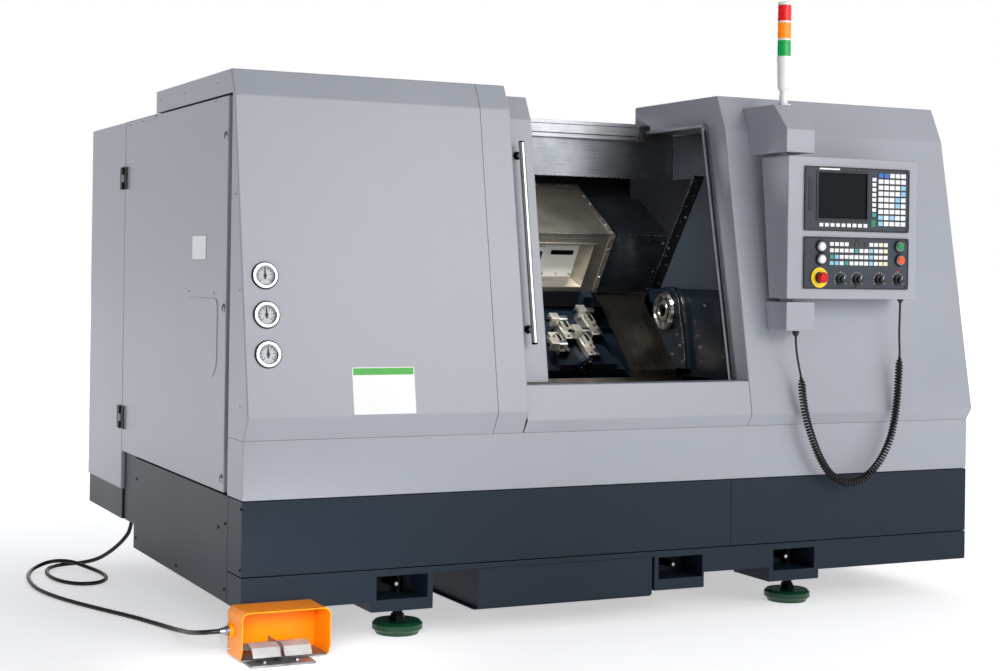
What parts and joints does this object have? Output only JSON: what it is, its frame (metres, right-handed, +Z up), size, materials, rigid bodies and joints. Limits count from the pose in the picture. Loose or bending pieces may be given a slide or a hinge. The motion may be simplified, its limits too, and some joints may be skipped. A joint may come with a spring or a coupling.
{
  "type": "cnc turning lathe",
  "caption": "Enclosed slant-bed CNC turning lathe with a sliding front door, swivelling control box, signal lamp, opposed spindles and a separate pedal switch.",
  "frame": {"origin": "on the floor under the middle of the machine, measured without the foot switch and the cords", "axes": "+X to the right along the spindles, +Y from the front to the back, +Z up"},
  "size_m": [3.394, 2.428, 2.293],
  "materials": {
    "grey_paint": "satin light grey paint",
    "dark_paint": "satin slate paint",
    "casting_paint": "oiled navy painted casting",
    "machined_steel": "ground steel",
    "stainless": "brushed stainless sheet",
    "aluminium_rail": "natural anodised",
    "green_rubber": "moulded rubber",
    "window_glass": "laminated clear",
    "black_metal": "black oxide",
    "panel_face": "matt slate panel foil",
    "screen_glass": "dark display",
    "key_rubber": "moulded keys",
    "white_plastic": "white plastic",
    "green_plastic": "green plastic",
    "orange_plastic": "orange plastic",
    "red_plastic": "red plastic",
    "black_plastic": "black plastic",
    "gauge_metal": "bright bezel",
    "needle_black": "black",
    "orange_paint": "gloss orange",
    "cord_rubber": "matt black sheath"
  },
  "bodies": {
    "machine": {"base_frame": "dark_paint", "base_covers": "dark_paint", "levelling_pads": "green_rubber", "levelling_screws": "machined_steel", "coolant_tank": "dark_paint", "plinth_and_sill": "grey_paint", "left_hood": "grey_paint", "right_hood": "grey_paint", "opening_frame": "aluminium_rail", "rear_enclosure": "grey_paint", "side_door_hinges": "black_metal", "control_arms": "grey_paint", "lamp_post": "white_plastic", "lamp_green": "green_plastic", "lamp_amber": "orange_plastic", "lamp_red": "red_plastic", "gauge_cases": "gauge_metal", "slant_bed": "casting_paint", "left_headstock": "casting_paint", "right_headstock": "casting_paint", "way_covers": "stainless", "work_area_liner": "stainless", "foot_guard": "orange_paint", "foot_cord_gland": "black_plastic", "foot_base_plate": "machined_steel", "foot_cord": "cord_rubber", "panel_cord": "cord_rubber", "cord_glands": "black_plastic"},
    "sliding_door": {"sliding_door": "grey_paint", "door_window": "window_glass", "door_handle": "stainless"},
    "side_door": {"side_door": "grey_paint"},
    "control_box": {"control_box": "grey_paint", "cnc_panel": "panel_face", "cnc_screen": "screen_glass", "operator_panel": "panel_face", "key_mats": "key_rubber"},
    "carriage": {"carriage": "casting_paint", "carriage_guard": "stainless"},
    "cross_slide": {"cross_slide": "machined_steel", "tool_blocks": "machined_steel"},
    "left_spindle": {"chuck": "machined_steel"},
    "white_button_upper": {"white_button_upper": "white_plastic"},
    "white_button_lower": {"white_button_lower": "white_plastic"},
    "green_button": {"green_button": "green_plastic"},
    "orange_button": {"orange_button": "orange_plastic"},
    "stop_button": {"stop_button": "red_plastic"},
    "knob_1": {"knob_1": "black_plastic"},
    "knob_2": {"knob_2": "black_plastic"},
    "knob_3": {"knob_3": "black_plastic"},
    "knob_4": {"knob_4": "black_plastic"},
    "gauge_needle_1": {"gauge_needle_1": "needle_black"},
    "gauge_needle_2": {"gauge_needle_2": "needle_black"},
    "gauge_needle_3": {"gauge_needle_3": "needle_black"},
    "jaw_1": {"jaw_1": "machined_steel"},
    "jaw_2": {"jaw_2": "machined_steel"},
    "jaw_3": {"jaw_3": "machined_steel"},
    "right_spindle": {"right_spindle": "machined_steel"},
    "pedal_left": {"pedal_left": "aluminium_rail"},
    "pedal_right": {"pedal_right": "aluminium_rail"}
  },
  "joints": [
    {"name": "door_slide", "type": "slide", "parent": "machine", "child": "sliding_door", "axis": [1, 0, 0], "range_m": [0, 0.81]},
    {"name": "side_door_swing", "type": "hinge", "parent": "machine", "child": "side_door", "pos_m": [-1.5005, 0.58, 1.1], "axis": [0, 0, -1], "range_deg": [0, 110]},
    {"name": "control_swivel", "type": "hinge", "parent": "machine", "child": "control_box", "pos_m": [0.6075, -1.046, 1.436], "axis": [0, 0, -1], "range_deg": [0, 75]},
    {"name": "carriage_slide", "type": "slide", "parent": "machine", "child": "carriage", "axis": [1, 0, 0], "range_m": [-0.3, 0]},
    {"name": "cross_slide_slide", "type": "slide", "parent": "carriage", "child": "cross_slide", "axis": [0, -0.829, -0.5592], "range_m": [0, 0.1]},
    {"name": "left_spindle_turn", "type": "hinge", "parent": "machine", "child": "left_spindle", "pos_m": [-0.4925, -0.361, 1.104], "axis": [1, 0, 0], "continuous": true},
    {"name": "right_spindle_turn", "type": "hinge", "parent": "machine", "child": "right_spindle", "pos_m": [0.7075, -0.361, 1.104], "axis": [1, 0, 0], "continuous": true},
    {"name": "jaw_1_slide", "type": "slide", "parent": "left_spindle", "child": "jaw_1", "axis": [0, 1, 0], "range_m": [-0.005, 0.004]},
    {"name": "jaw_2_slide", "type": "slide", "parent": "left_spindle", "child": "jaw_2", "axis": [0, -0.5, 0.866], "range_m": [-0.005, 0.004]},
    {"name": "jaw_3_slide", "type": "slide", "parent": "left_spindle", "child": "jaw_3", "axis": [0, -0.5, -0.866], "range_m": [-0.005, 0.004]},
    {"name": "white_button_upper_press", "type": "slide", "parent": "control_box", "child": "white_button_upper", "axis": [0, 1, 0], "range_m": [0, 0.004], "stiffness_N_per_m": 400},
    {"name": "white_button_lower_press", "type": "slide", "parent": "control_box", "child": "white_button_lower", "axis": [0, 1, 0], "range_m": [0, 0.004], "stiffness_N_per_m": 400},
    {"name": "green_button_press", "type": "slide", "parent": "control_box", "child": "green_button", "axis": [0, 1, 0], "range_m": [0, 0.004], "stiffness_N_per_m": 400},
    {"name": "orange_button_press", "type": "slide", "parent": "control_box", "child": "orange_button", "axis": [0, 1, 0], "range_m": [0, 0.004], "stiffness_N_per_m": 400},
    {"name": "stop_button_press", "type": "slide", "parent": "control_box", "child": "stop_button", "axis": [0, 1, 0], "range_m": [0, 0.005], "stiffness_N_per_m": 600},
    {"name": "knob_1_turn", "type": "hinge", "parent": "control_box", "child": "knob_1", "pos_m": [0.8065, -1.136, 1.244], "axis": [0, -1, 0], "range_deg": [-60, 60]},
    {"name": "knob_2_turn", "type": "hinge", "parent": "control_box", "child": "knob_2", "pos_m": [0.8835, -1.136, 1.244], "axis": [0, -1, 0], "range_deg": [-60, 60]},
    {"name": "knob_3_turn", "type": "hinge", "parent": "control_box", "child": "knob_3", "pos_m": [0.9885, -1.136, 1.244], "axis": [0, -1, 0], "range_deg": [-60, 60]},
    {"name": "knob_4_turn", "type": "hinge", "parent": "control_box", "child": "knob_4", "pos_m": [1.0765, -1.136, 1.244], "axis": [0, -1, 0], "range_deg": [-60, 60]},
    {"name": "gauge_needle_1_turn", "type": "hinge", "parent": "machine", "child": "gauge_needle_1", "pos_m": [-1.4145, -1.04748, 0.975], "axis": [0, -0.9846, 0.1746], "range_deg": [-120, 120]},
    {"name": "gauge_needle_2_turn", "type": "hinge", "parent": "machine", "child": "gauge_needle_2", "pos_m": [-1.4145, -1.02469, 1.1035], "axis": [0, -0.9846, 0.1746], "range_deg": [-120, 120]},
    {"name": "gauge_needle_3_turn", "type": "hinge", "parent": "machine", "child": "gauge_needle_3", "pos_m": [-1.4145, -1.00191, 1.232], "axis": [0, -0.9846, 0.1746], "range_deg": [-120, 120]},
    {"name": "pedal_left_press", "type": "hinge", "parent": "machine", "child": "pedal_left", "pos_m": [-1.4145, -1.091, 0.034], "axis": [1, 0, 0], "range_deg": [0, 6], "stiffness_Nm_per_rad": 6, "springref_deg": -11.46},
    {"name": "pedal_right_press", "type": "hinge", "parent": "machine", "child": "pedal_right", "pos_m": [-1.4145, -1.091, 0.034], "axis": [1, 0, 0], "range_deg": [0, 6], "stiffness_Nm_per_rad": 6, "springref_deg": -11.46}
  ],
  "couplings": [
    {"joint": "jaw_2_slide", "follows": "jaw_1_slide", "ratio": 1},
    {"joint": "jaw_3_slide", "follows": "jaw_1_slide", "ratio": 1}
  ]
}
